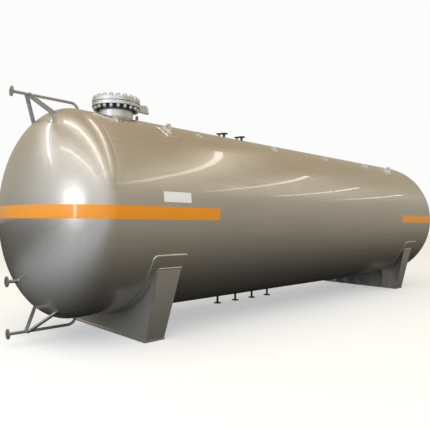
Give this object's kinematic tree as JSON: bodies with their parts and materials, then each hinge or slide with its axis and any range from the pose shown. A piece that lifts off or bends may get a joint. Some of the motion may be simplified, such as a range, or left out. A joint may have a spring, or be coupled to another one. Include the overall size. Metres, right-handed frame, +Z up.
{
  "type": "horizontal pressure tank",
  "caption": "Horizontal steel pressure tank with dished ends on two saddles, with a bolted hinged manhole, flanged nozzles, stayed gauge pipes and lifting lugs.",
  "frame": {"origin": "centre of the near, fixed saddle's base plate, on its underside", "axes": "+X along the vessel from the near head, which carries the gauge pipes, to the far head; +Z up"},
  "size_m": [11.2, 3.0398, 3.661],
  "materials": {
    "shell_paint": "glossy warm silver paint",
    "saddle_paint": "satin grey-silver paint",
    "manhole_steel": "bright silver paint over machined steel",
    "pipe_paint": "satin grey paint",
    "flange_dark": "dark oiled steel",
    "gasket": "compressed fibre sheet",
    "band_orange": "orange stripe paint",
    "stud_steel": "plated studs and nuts"
  },
  "bodies": {
    "root": {"bottom_nozzle_1": "flange_dark", "bottom_nozzle_2": "flange_dark", "bottom_nozzle_3": "flange_dark", "bottom_nozzle_4": "flange_dark", "cover_hinge_strap": "manhole_steel", "cover_rest": "manhole_steel", "far_head": "shell_paint", "far_lifting_lugs": "shell_paint", "far_lug_pads": "shell_paint", "far_saddle_base": "saddle_paint", "far_saddle_end_ribs": "saddle_paint", "far_saddle_inner_ribs": "saddle_paint", "far_saddle_wear_plate": "saddle_paint", "far_saddle_web": "saddle_paint", "head_nozzle": "pipe_paint", "hinge_cheeks": "manhole_steel", "hinge_pin": "manhole_steel", "lower_gauge_flange": "pipe_paint", "lower_gauge_pipe": "pipe_paint", "lower_gauge_stays": "pipe_paint", "manhole_cover": "manhole_steel", "manhole_gasket": "gasket", "manhole_neck": "manhole_steel", "near_head": "shell_paint", "near_lifting_lugs": "shell_paint", "near_lug_pads": "shell_paint", "near_saddle_base": "saddle_paint", "near_saddle_end_ribs": "saddle_paint", "near_saddle_inner_ribs": "saddle_paint", "near_saddle_wear_plate": "saddle_paint", "near_saddle_web": "saddle_paint", "platform_cleats": "shell_paint", "shell_course_1": "shell_paint", "shell_course_2": "shell_paint", "shell_course_3": "shell_paint", "shell_course_4": "shell_paint", "top_nozzle_1": "flange_dark", "top_nozzle_2": "flange_dark", "upper_gauge_flange": "pipe_paint", "upper_gauge_pipe": "pipe_paint", "upper_gauge_stays": "pipe_paint", "vent_nozzle_1": "flange_dark", "vent_nozzle_2": "flange_dark"}
  },
  "joints": []
}
